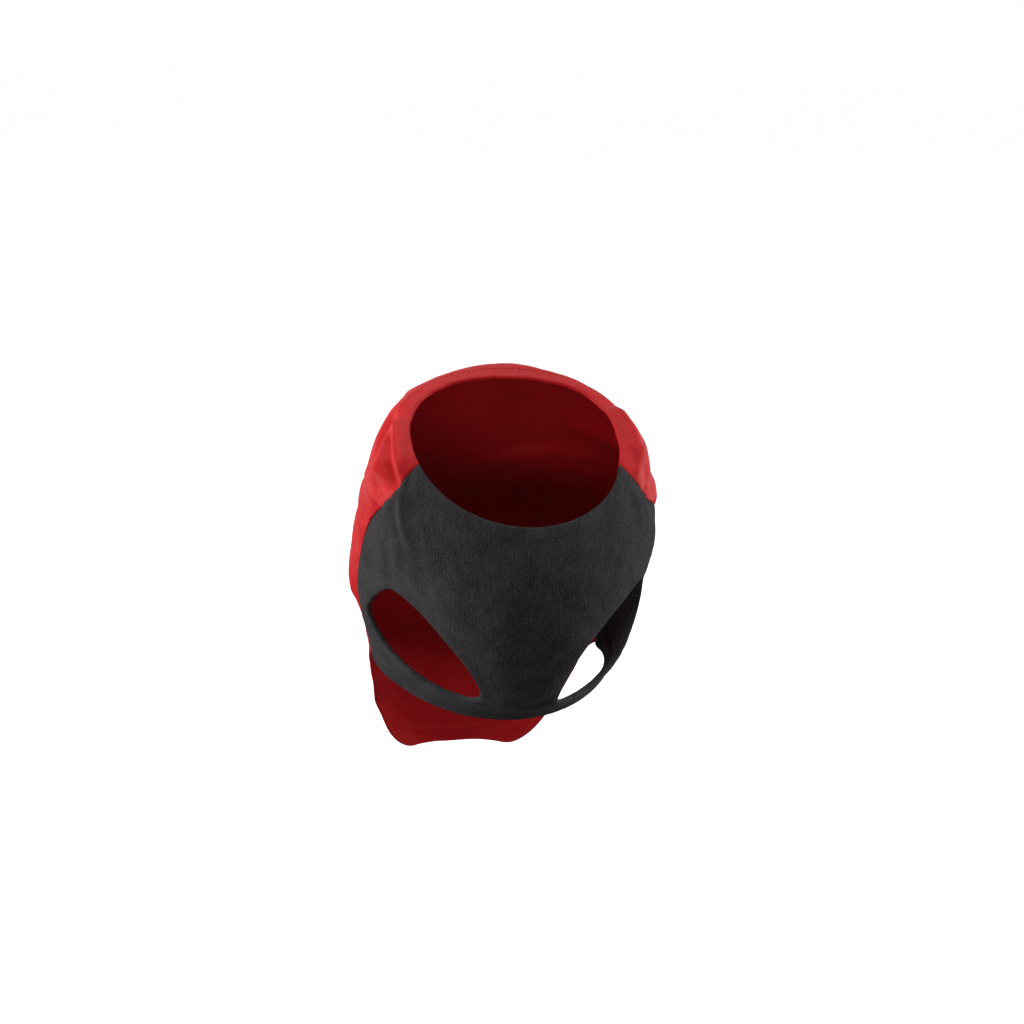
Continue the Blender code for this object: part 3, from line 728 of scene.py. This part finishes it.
def shell(name, outer, quads, depth, bulge, uv, material):
    """A closed cloth shell under its outer face. depth and bulge are given for each point."""
    normal = mesh_normals(outer, quads)
    inner = outer - depth[:, None] * normal
    count = len(outer)
    edges = border_edges(quads)
    rim = np.unique(edges)
    number = np.full(count, -1)
    number[rim] = np.arange(len(rim))
    away = np.zeros((count, 3))
    run = outer[edges[:, 1]] - outer[edges[:, 0]]
    for end in (0, 1):
        np.add.at(away, edges[:, end], np.cross(run, normal[edges[:, end]]))
    away = unit(away[rim]) * bulge[rim, None]
    points, uvs = [outer, inner], [uv, uv]
    for step in range(1, RIM_STEPS):
        turn = math.pi * step / RIM_STEPS
        lift = normal[rim] * math.cos(turn) + away * math.sin(turn)
        points.append((outer[rim] + inner[rim]) / 2 + lift * depth[rim, None] / 2)
        uvs.append(uv[rim])
    faces = [quads, quads[:, ::-1] + count]
    first, second = number[edges[:, 0]], number[edges[:, 1]]
    layers = [edges]
    for step in range(RIM_STEPS - 1):
        start = 2 * count + step * len(rim)
        layers.append(np.stack([start + first, start + second], 1))
    layers.append(edges + count)
    for upper, lower in zip(layers, layers[1:]):
        faces.append(np.stack([upper[:, 1], upper[:, 0], lower[:, 0], lower[:, 1]], 1))
    return make_mesh(name, np.vstack(points), np.vstack(faces), material, np.vstack(uvs))


def on_free_edge(ring, angle):
    """Whether an edge point isn't on a side seam."""
    left, right = seam_gaps(ring, angle)
    return np.minimum(left, right) > SEAM_GAP


def distance_to_edge(ring, angle, quads):
    """How far each place is from the patch's nearest free edge."""
    points = form_point(ring, angle)
    border = np.unique(border_edges(quads))
    border = border[on_free_edge(ring[border], angle[border])]
    tree = KDTree(len(border))
    for i, point in enumerate(points[border]):
        tree.insert(point, i)
    tree.balance()
    return np.array([tree.find(point)[2] for point in points])


def panel(name, patch, finish, middle, material):
    ring, angle, quads = patch
    to_edge = distance_to_edge(ring, angle, quads)
    outer = cloth_point(ring, angle, to_edge, finish)
    bulge = np.where(on_free_edge(ring, angle), RIM_BULGE, 0.0)
    depth = cloth_depth(to_edge, finish)
    return shell(name, outer, quads, depth, bulge, cloth_uv(ring, angle, middle), material)


# ---------------------------------------------------------------- threads
THREAD_RADIUS = 0.19 * MM
THREAD_SIDES = 6
STITCH_LENGTH = 2.4 * MM
STITCH_PITCH = 2.9 * MM
STITCH_ARC = np.array([-1.0, 0.35, 0.75, 0.35, -1.0])  # height along a stitch, in radii
OVERLOCK_RADIUS = 0.16 * MM
OVERLOCK_PITCH = 2.3 * MM
OVERLOCK_WIDTH = 4.2 * MM
OVERLOCK_LOOPS = 0.25 * MM  # how far its line of loops swings
OVERLOCK_CORNERS = 0.1  # how round a zigzag's corners are
ZIGZAG_PITCH = 1.9 * MM
ZIGZAG_CORNERS = 0.15
ZIGZAG_STANDS_OFF = 0.6  # radii from the cloth's inner face to its middle
ZIGZAG_INSIDE = 2.0 * MM  # how far it reaches to both sides of the hem's raw edge
ZIGZAG_OUTSIDE = 0.3 * MM
POINTS_PER_TURN = 8


def tubes(name, paths, radius, material):
    """Threads of one radius along paths, each its points and the directions up from them."""
    points, faces = [], []
    turn = np.arange(THREAD_SIDES) * 2 * math.pi / THREAD_SIDES
    count = 0
    for path, up in paths:
        side = unit(np.cross(np.gradient(path, axis=0), up))
        up = unit(np.cross(side, np.gradient(path, axis=0)))
        ring = np.cos(turn)[:, None, None] * side + np.sin(turn)[:, None, None] * up
        points.append((path + radius * ring).transpose(1, 0, 2).reshape(-1, 3))
        for i in range(len(path) - 1):
            start = count + i * THREAD_SIDES
            for j in range(THREAD_SIDES):
                k = (j + 1) % THREAD_SIDES
                faces.append((start + j, start + k, start + THREAD_SIDES + k, start + THREAD_SIDES + j))
        last = count + (len(path) - 1) * THREAD_SIDES
        faces.append(tuple(range(count + THREAD_SIDES - 1, count - 1, -1)))
        faces.append(tuple(range(last, last + THREAD_SIDES)))
        count += len(path) * THREAD_SIDES
    return make_mesh(name, np.vstack(points), faces, material)


def inset(ring, angle, distance):
    """Places at a distance from an edge, on its right hand as seen from outside."""
    down, around = form_slopes(ring, angle)
    along = np.gradient(form_point(ring, angle), axis=0)
    inward = unit(np.cross(along, np.cross(down, around))) * np.reshape(distance, (-1, 1))
    pairs = ((down, down), (down, around), (around, around))
    stretch, lean, girth = ((first * second).sum(-1) for first, second in pairs)
    pull, twist = (inward * down).sum(-1), (inward * around).sum(-1)
    area = stretch * girth - lean * lean
    ring_step = (pull * girth - twist * lean) / area
    angle_step = (twist * stretch - pull * lean) / area
    return ring + ring_step, angle + np.degrees(angle_step)


def along(path, lengths, places):
    return np.stack([np.interp(places, lengths, path[:, axis]) for axis in range(3)], 1)


def stitch_paths(edge, distance, finish):
    """A row of stitches on the outer face, at a distance from an edge."""
    ring, angle = inset(*edge, distance)
    path = cloth_point(ring, angle, np.full(len(ring), abs(distance)), finish)
    up = form_normal(ring, angle)
    lengths = stretch_of(path)
    height = THREAD_RADIUS * STITCH_ARC[:, None]
    paths = []
    for start in np.arange(STITCH_PITCH / 3, lengths[-1] - STITCH_PITCH, STITCH_PITCH):
        places = start + STITCH_LENGTH * np.linspace(0, 1, len(STITCH_ARC))
        rise = along(up, lengths, places)
        paths.append((along(path, lengths, places) + height * rise, rise))
    return paths


def zigzag(turns, corners):
    """1 at each whole turn and 0 halfway to the next, with rounded corners."""
    return smoothstep(np.abs(turns % 1 * 2 - 1), -corners, 1 + corners)


def hem_zigzag(edge, way):
    """A thread that zigzags over a jersey hem's raw edge, on the inner face."""
    ring, angle = edge
    lengths = stretch_of(form_point(ring, angle))
    places = np.arange(0, lengths[-1], ZIGZAG_PITCH / POINTS_PER_TURN)
    ring, angle = np.interp(places, lengths, ring), np.interp(places, lengths, angle)
    near, far = way * (HEM_END[0] - ZIGZAG_INSIDE), way * (HEM_END[1] + ZIGZAG_OUTSIDE)
    distance = near + (far - near) * zigzag(places / ZIGZAG_PITCH, ZIGZAG_CORNERS)
    ring, angle = inset(ring, angle, distance)
    to_edge = np.abs(distance)
    up = form_normal(ring, angle)
    depth = cloth_depth(to_edge, RIB) + THREAD_RADIUS * ZIGZAG_STANDS_OFF
    return cloth_point(ring, angle, to_edge, RIB) - depth[:, None] * up, -up


# ---------------------------------------------------------------- seam allowances
ALLOWANCE_WIDTH = 7.5 * MM
ALLOWANCE_LAP = 1.0 * MM  # how far it reaches under the chest panel
ALLOWANCE_DEPTH = 0.95 * MM
ALLOWANCE_GAP = 0.05 * MM  # between it and the cloth
ALLOWANCE_LUMPS = (0.12, 6 * MM)  # share by which its depth varies, and over what size
ALLOWANCE_BULGE = 0.8
PANEL_CHANGE = (-0.4 * MM, 0.6 * MM)  # where the depth changes from jersey to woven
ALLOWANCE_END = 0.07  # rings that it keeps from the neckline and the hem
ALLOWANCE_ROWS = 300
ALLOWANCE_COLUMNS = 12


def seam_angle(seam, side, ring, beyond):
    """The angle of places beside a seam; beyond is metres towards the back panel."""
    return side * (seam(ring) + np.degrees(beyond / RADIUS))


def allowance_face(seam, side, ring, beyond):
    """The inner face of the cloth beside a seam, and the normal there."""
    angle = seam_angle(seam, side, ring, beyond)
    to_neck = between(DOWN, ring, angle)
    to_hem = between(DOWN, np.full(len(ring), HEM_SEAM), angle) - to_neck
    to_edge = np.minimum(to_neck, to_hem)
    face = cloth_point(ring, angle, np.maximum(to_edge, 0), WOVEN)
    up = form_normal(ring, angle)
    on_back = smoothstep(beyond, *PANEL_CHANGE)
    depth = cloth_depth(to_edge, RIB) * (1 - on_back) + cloth_depth(to_edge, WOVEN) * on_back
    return face - (depth + ALLOWANCE_GAP)[:, None] * up, up


def allowance(name, seam, side, material):
    """Both cloths' seam allowances, overlocked together and pressed towards the back."""
    ring = np.linspace(ALLOWANCE_END, HEM_SEAM - ALLOWANCE_END, ALLOWANCE_ROWS)
    beyond = np.linspace(-ALLOWANCE_LAP, ALLOWANCE_WIDTH, ALLOWANCE_COLUMNS)
    rings, beyonds = (grid.ravel() for grid in np.meshgrid(ring, beyond, indexing="ij"))
    face, _ = allowance_face(seam, side, rings, beyonds)
    quads = grid_quads(ALLOWANCE_ROWS, ALLOWANCE_COLUMNS)
    if side < 0:
        quads = quads[:, ::-1]
    share, size = ALLOWANCE_LUMPS
    depth = ALLOWANCE_DEPTH * (1 + share * uneven(face, size))
    uv = cloth_uv(rings, seam_angle(seam, side, rings, beyonds), 0)
    return shell(name, face, quads, depth, np.full(len(face), ALLOWANCE_BULGE), uv, material)


def overlock(name, seam, side, material):
    """The thread that wraps an allowance's raw edge: zigzag legs and a line of loops."""
    length = float(between(DOWN, np.array([HEM_SEAM]), np.array([90.0]))[0])
    count = int(length / OVERLOCK_PITCH)
    step = np.arange(count * POINTS_PER_TURN + 1) / POINTS_PER_TURN
    ring = 2 * ALLOWANCE_END + (HEM_SEAM - 4 * ALLOWANCE_END) * step / count
    inner = ALLOWANCE_WIDTH - OVERLOCK_WIDTH
    legs = inner + OVERLOCK_WIDTH * zigzag(step, OVERLOCK_CORNERS)
    loops = inner + OVERLOCK_LOOPS * np.sin(step * 4 * math.pi)
    paths = []
    for beyond in (legs, loops):
        face, up = allowance_face(seam, side, ring, beyond)
        paths.append((face - (ALLOWANCE_DEPTH + OVERLOCK_RADIUS) * up, -up))
    return tubes(name, paths, OVERLOCK_RADIUS, material)


# ---------------------------------------------------------------- materials
class Nodes:
    """A node tree that ends in one shader, built a node at a time."""

    def __init__(self, owner, shader="Principled BSDF"):
        owner.use_nodes = True
        self.owner = owner
        self.tree = owner.node_tree
        self.shader = self.tree.nodes[shader]

    def fill(self, node, key, value):
        if isinstance(value, bpy.types.NodeSocket):
            self.tree.links.new(value, node.inputs[key])
        else:
            node.inputs[key].default_value = value

    def add(self, kind, inputs=None, **settings):
        node = self.tree.nodes.new(kind)
        for key, value in settings.items():
            setattr(node, key, value)
        for key, value in (inputs or {}).items():
            self.fill(node, key, value)
        return node

    def math(self, operation, first, second=0.0, third=0.0):
        inputs = {0: first, 1: second, 2: third}
        return self.add("ShaderNodeMath", inputs, operation=operation).outputs[0]

    def scaled(self, value, by, plus=0.0):
        return self.math("MULTIPLY_ADD", value, by, plus)

    def wave(self, place, pitch):
        """A sine along the cloth; pitch is one whole wave, in millimetres."""
        return self.math("SINE", self.scaled(place, by=2 * math.pi / pitch))

    def mix(self, share, first, second):
        node = self.add("ShaderNodeMix", data_type="RGBA")
        for key, value in ((0, share), (6, first), (7, second)):
            self.fill(node, key, value)
        return node.outputs[2]

    def noise(self, place, scale, detail=2.0, roughness=0.5):
        inputs = {"Vector": place, "Scale": scale, "Detail": detail, "Roughness": roughness}
        return self.add("ShaderNodeTexNoise", inputs).outputs[0]

    def vary(self, tone, noise, reach):
        """tone, moved up and down by a noise whose middle is 0.5."""
        return self.scaled(self.math("SUBTRACT", noise, 0.5), by=reach, plus=tone)

    def bump(self, height, distance, strength, below=None):
        inputs = {"Height": height, "Distance": distance, "Strength": strength}
        if below is not None:
            inputs["Normal"] = below
        return self.add("ShaderNodeBump", inputs).outputs[0]

    def finish(self, **values):
        """Fills the shader's sockets, whose names have _ here in place of a space."""
        for name, value in values.items():
            self.fill(self.shader, name.replace("_", " "), value)
        return self.owner

    def cloth_millimetres(self):
        """The place on the flat cloth, in millimetres."""
        place = self.add("ShaderNodeUVMap", uv_map="cloth").outputs[0]
        scaled = self.add("ShaderNodeVectorMath", {0: place, 3: 1 / MM}, operation="SCALE")
        return scaled.outputs[0]


def rgba(red, green, blue):
    """A colour given in sRGB, 0 to 255, as linear numbers."""
    linear = []
    for value in (red, green, blue):
        share = value / 255
        low = share / 12.92
        linear.append(low if share <= 0.04045 else ((share + 0.055) / 1.055) ** 2.4)
    return (*linear, 1.0)


RED_DARK = rgba(176, 8, 22)
RED_LIGHT = rgba(226, 40, 45)
RED_SHEEN = rgba(255, 150, 150)
RED_GLOSS = rgba(255, 225, 208)
BLACK_DARK = rgba(12, 11, 12)
BLACK_LIGHT = rgba(80, 77, 78)
BLACK_SHEEN = rgba(205, 200, 208)
FLECK_GREY = rgba(120, 114, 110)
RED_THREAD = (rgba(150, 10, 22), rgba(206, 34, 46))
BLACK_THREAD = (rgba(14, 13, 14), rgba(42, 40, 42))

WEAVE_PITCH = 0.84  # millimetres, for two threads
WALE_PITCH = 0.98  # millimetres between the rib's wales
COURSE_PITCH = 0.72
SLUB_SHAPE = (1.0, 0.22, 1.0)  # slubs are longer down the cloth than across
SALT_FROM = 0.55  # grain above this shows as pale specks
FLECK_RADIUS = 0.09


def red_woven():
    """Plain-woven windbreaker polyester: close weave, soft sheen, faint crumple."""
    nodes = Nodes(bpy.data.materials.new("red_woven_shell"))
    place = nodes.cloth_millimetres()
    split = nodes.add("ShaderNodeSeparateXYZ", {0: place})
    across, down = (nodes.wave(split.outputs[axis], WEAVE_PITCH) for axis in (0, 1))
    weave = nodes.math("MULTIPLY", across, down)
    slub = nodes.noise(place, scale=0.9, detail=4.0)
    crumple = nodes.noise(place, scale=0.22, detail=4.0, roughness=0.6)
    cloudy = nodes.noise(place, scale=0.045, detail=3.0)
    tone = nodes.scaled(weave, by=0.07, plus=0.5)
    for noise_node, reach in ((slub, 0.30), (crumple, 0.30), (cloudy, 0.45)):
        tone = nodes.vary(tone, noise_node, reach)
    bump = nodes.bump(crumple, distance=0.8 * MM, strength=0.12)
    bump = nodes.bump(slub, distance=0.2 * MM, strength=0.3, below=bump)
    return nodes.finish(
        Base_Color=nodes.mix(tone, RED_DARK, RED_LIGHT),
        Roughness=nodes.scaled(slub, by=0.16, plus=0.42),
        Normal=nodes.bump(weave, distance=0.06 * MM, strength=0.5, below=bump),
        Specular_IOR_Level=0.18,
        Specular_Tint=RED_GLOSS,
        Sheen_Weight=0.03,
        Sheen_Roughness=0.35,
        Sheen_Tint=RED_SHEEN,
    )


def black_rib():
    """Fine rib jersey: wales down the cloth, brushed fuzz and a few stray flecks."""
    nodes = Nodes(bpy.data.materials.new("black_rib_jersey"))
    place = nodes.cloth_millimetres()
    split = nodes.add("ShaderNodeSeparateXYZ", {0: place})
    tall = nodes.add("ShaderNodeVectorMath", {0: place, 1: SLUB_SHAPE}, operation="MULTIPLY")
    slub = nodes.noise(tall.outputs[0], scale=0.95, detail=3.0)
    grain = nodes.noise(place, scale=1.15, detail=3.0, roughness=0.6)
    fuzz = nodes.noise(place, scale=2.0, detail=4.0, roughness=0.7)
    cloudy = nodes.noise(place, scale=0.05, detail=3.0)
    drift = nodes.noise(place, scale=0.12)
    wale = nodes.wave(nodes.vary(split.outputs[0], drift, reach=1.5), WALE_PITCH)
    course = nodes.wave(split.outputs[1], COURSE_PITCH)
    broken = nodes.math("MULTIPLY", wale, nodes.scaled(grain, by=1.1, plus=0.1))
    salt = nodes.math("MAXIMUM", nodes.math("SUBTRACT", grain, SALT_FROM), 0.0)
    tone = nodes.scaled(broken, by=0.15, plus=0.34)
    tone = nodes.scaled(salt, by=1.8, plus=tone)
    reaches = ((slub, 0.55), (grain, 0.65), (fuzz, 0.9), (cloudy, 0.5), (drift, 0.35))
    for noise_node, reach in reaches:
        tone = nodes.vary(tone, noise_node, reach)
    tone = nodes.scaled(course, by=0.03, plus=tone)
    colour = nodes.mix(tone, BLACK_DARK, BLACK_LIGHT)
    settings = {"Vector": place, "Scale": 0.3, "Randomness": 1.0}
    flecks = nodes.add("ShaderNodeTexVoronoi", settings).outputs["Distance"]
    share = nodes.scaled(nodes.math("LESS_THAN", flecks, FLECK_RADIUS), by=0.3)
    height = nodes.scaled(wale, by=0.5, plus=nodes.scaled(course, by=0.12))
    height = nodes.scaled(slub, by=0.7, plus=height)
    bump = nodes.bump(height, distance=0.2 * MM, strength=0.6)
    return nodes.finish(
        Base_Color=nodes.mix(share, colour, FLECK_GREY),
        Roughness=0.92,
        Normal=nodes.bump(fuzz, distance=0.28 * MM, strength=0.55, below=bump),
        Specular_IOR_Level=0.2,
        Sheen_Weight=0.06,
        Sheen_Roughness=0.5,
        Sheen_Tint=BLACK_SHEEN,
    )


def thread(name, dark, light):
    """Spun sewing thread, twisted, so its tone changes every fraction of a millimetre."""
    nodes = Nodes(bpy.data.materials.new(name))
    place = nodes.add("ShaderNodeTexCoord").outputs["Object"]
    twist = nodes.noise(place, scale=4200.0, detail=1.0)
    return nodes.finish(
        Base_Color=nodes.mix(twist, dark, light),
        Roughness=0.6,
        Normal=nodes.bump(twist, distance=0.05 * MM, strength=0.5),
        Specular_IOR_Level=0.35,
    )


# ---------------------------------------------------------------- stage
CAMERA_AZIMUTH = math.radians(-10)
CAMERA_ELEVATION = math.radians(10)
CAMERA_DISTANCE = 1.7
PHOTO_PIXEL = 0.45 * MM  # what one pixel spans at the jacket
FRAME_WIDTH = 1024 * PHOTO_PIXEL
SENSOR = 36.0
AIM = (-0.0018, -0.0573, -0.057)
FLOOR_Z = -0.246
FLOOR_REACH = 40.0  # far enough that no edge of the floor is in the picture
FLOOR_GLOW = 0.72

FLAG_DISTANCE = 2.1
FLAG_WIDTH = 3.6
FLAG_HEIGHT = 2.6

# The studio's light by the height of its direction: dark floor, white walls, dim ceiling
Glow = namedtuple("Glow", "height strength")
STUDIO = [Glow(-0.10, 0.07), Glow(-0.02, 1.0), Glow(0.16, 1.0), Glow(0.42, 0.22), Glow(1.0, 0.22)]

Lamp = namedtuple("Lamp", "name azimuth elevation distance width height power")
LAMPS = [
    Lamp("softbox_left", -96, 8, 1.5, 1.1, 1.0, 22),
    Lamp("softbox_right", 92, 8, 1.5, 1.1, 1.0, 18),
    Lamp("front_low", -14, 0, 1.9, 1.0, 0.25, 6),
    Lamp("top", 180, 68, 1.5, 0.9, 0.9, 8),
]


def direction(azimuth, elevation):
    """The unit vector towards a place; azimuth 0 is in front of the chest, 90 at +X."""
    flat_reach = math.cos(elevation)
    return np.array(
        [math.sin(azimuth) * flat_reach, -math.cos(azimuth) * flat_reach, math.sin(elevation)]
    )


def aimed(name, data, distance, azimuth, elevation):
    """A new camera or lamp that looks at the jacket from this distance and direction."""
    made = link_new(name, data)
    made.location = AIM + distance * direction(azimuth, elevation)
    made.rotation_euler = (math.pi / 2 - elevation, 0, azimuth)
    return made


def add_camera():
    data = bpy.data.cameras.new("camera")
    data.sensor_width = SENSOR
    data.lens = SENSOR * CAMERA_DISTANCE / FRAME_WIDTH
    camera = aimed("camera", data, CAMERA_DISTANCE, CAMERA_AZIMUTH, CAMERA_ELEVATION)
    bpy.context.scene.camera = camera
    bpy.context.scene.view_settings.view_transform = "Standard"


def add_lamp(lamp):
    data = bpy.data.lights.new(lamp.name, "AREA")
    data.shape = "RECTANGLE"
    data.size, data.size_y = lamp.width, lamp.height
    data.energy = lamp.power
    azimuth, elevation = math.radians(lamp.azimuth), math.radians(lamp.elevation)
    aimed(lamp.name, data, lamp.distance, azimuth, elevation)


def add_studio():
    """White light from the walls, and less from above and below them."""
    nodes = Nodes(bpy.data.worlds.new("studio"), "Background")
    place = nodes.add("ShaderNodeTexCoord").outputs["Generated"]
    height = nodes.add("ShaderNodeSeparateXYZ", {0: place}).outputs[2]
    ramp = nodes.add("ShaderNodeValToRGB", {0: nodes.scaled(height, by=0.5, plus=0.5)})
    while len(ramp.color_ramp.elements) < len(STUDIO):
        ramp.color_ramp.elements.new(0.5)
    for element, glow in zip(ramp.color_ramp.elements, STUDIO):
        element.position = (glow.height + 1) / 2
        element.color = (glow.strength, glow.strength, glow.strength, 1)
    bpy.context.scene.world = nodes.finish(Color=ramp.outputs[0])


def card(name, middle, across, up, **finish):
    """A flat card round its middle; across and up are its half sides."""
    material = Nodes(bpy.data.materials.new(name + "_finish")).finish(**finish)
    middle, across, up = (np.array(vector, float) for vector in (middle, across, up))
    corners = [middle + i * across + j * up for i, j in ((-1, -1), (1, -1), (1, 1), (-1, 1))]
    return make_mesh(name, np.array(corners), [(0, 1, 2, 3)], material)


def add_floor():
    floor = card(
        "floor",
        middle=(0, 0, FLOOR_Z),
        across=(FLOOR_REACH, 0, 0),
        up=(0, FLOOR_REACH, 0),
        Base_Color=rgba(244, 244, 243),
        Roughness=0.9,
        Emission_Color=(1, 1, 1, 1),
        Emission_Strength=FLOOR_GLOW,
    )
    floor.visible_diffuse = False
    floor.visible_glossy = False


def add_flag():
    """A black card behind the camera, so that what faces the camera reflects little."""
    ahead = direction(CAMERA_AZIMUTH, 0)
    flag = card(
        "flag",
        middle=AIM + FLAG_DISTANCE * ahead,
        across=np.array([-ahead[1], ahead[0], 0]) * FLAG_WIDTH / 2,
        up=(0, 0, FLAG_HEIGHT / 2),
        Base_Color=rgba(6, 6, 6),
        Roughness=1.0,
        Specular_IOR_Level=0.0,
    )
    flag.visible_camera = False


def add_stage():
    add_floor()
    add_flag()
    add_studio()
    for lamp in LAMPS:
        add_lamp(lamp)


# ---------------------------------------------------------------- assembly
EDGE_SAMPLES = 400
SEAM_MARGIN = 2.5  # degrees that a row of stitches keeps from a side seam
RUMP_MARGIN = 0.02  # share of the back's width that its hem's stitches keep from a seam
LAP_END = 1e-6  # radians by which an armhole's edge stops short of a full turn


def neck_edge(start, end):
    inner = np.linspace(start + SEAM_MARGIN, end - SEAM_MARGIN, EDGE_SAMPLES)
    return np.zeros(EDGE_SAMPLES), inner


def belly_edge():
    left, right = at(LEFT_SEAM, HEM_SEAM), at(RIGHT_SEAM, HEM_SEAM)
    angle = np.linspace(SEAM_MARGIN - left, right - SEAM_MARGIN, EDGE_SAMPLES)
    seams = ((angle < 0, LEFT_SEAM), (angle >= 0, RIGHT_SEAM))
    ring = np.zeros(EDGE_SAMPLES)
    for on_side, seam in seams:
        ring[on_side] = chest_hem(np.abs(angle[on_side]), seam)
    return ring, angle


def rump_edge():
    across = np.linspace(RUMP_MARGIN, 1 - RUMP_MARGIN, EDGE_SAMPLES)
    ring = back_hem(across)
    return ring, back_angle(ring, across)


def armhole_edge(marks, centre, side):
    turns = np.linspace(-math.pi, math.pi - LAP_END, EDGE_SAMPLES)
    ring, angle = np.array([armhole_place(marks, centre, turn) for turn in turns]).T
    return ring, side * angle


def dress(piece):
    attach(piece, "root")
    return piece


def back_panel():
    cloth = red_woven()
    spun = thread("red_thread", *RED_THREAD)
    shell_piece = dress(panel("back_shell", back_patch(), WOVEN, 180, cloth))
    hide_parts("back_panel")
    neck = neck_edge(at(RIGHT_SEAM, 0.0), 360 - at(LEFT_SEAM, 0.0))
    rows = stitch_paths(neck, HEM_STITCH, WOVEN)
    rows += stitch_paths(rump_edge(), -HEM_STITCH, WOVEN)
    sewing = dress(tubes("back_hem_stitches", rows, THREAD_RADIUS, spun))


def chest_panel():
    cloth = black_rib()
    spun = thread("black_thread", *BLACK_THREAD)
    shell_piece = dress(panel("chest_shell", chest_patch(), RIB, 0, cloth))
    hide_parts("chest_panel")
    neck = neck_edge(-at(LEFT_SEAM, 0.0), at(RIGHT_SEAM, 0.0))
    rows, zigzags = [], []
    for edge, way in ((neck, 1), (belly_edge(), -1)):
        for distance in (TWIN_STITCH, HEM_STITCH):
            rows += stitch_paths(edge, way * distance, RIB)
        zigzags.append(hem_zigzag(edge, way))
    zigzags.append(hem_zigzag(armhole_edge(RIGHT_ARMHOLE, RIGHT_CENTRE, 1), -1))
    zigzags.append(hem_zigzag(armhole_edge(LEFT_ARMHOLE, LEFT_CENTRE, -1), 1))
    pieces = [
        tubes("chest_hem_stitches", rows, THREAD_RADIUS, spun),
        tubes("chest_hem_zigzag", zigzags, THREAD_RADIUS, spun),
    ]
    for name, seam, side in (("left", LEFT_SEAM, -1), ("right", RIGHT_SEAM, 1)):
        pieces.append(allowance(name + "_seam_allowance", seam, side, cloth))
        pieces.append(overlock(name + "_seam_overlock", seam, side, spun))
    for piece in pieces:
        dress(piece)


add_camera()
add_stage()
back_panel()
chest_panel()
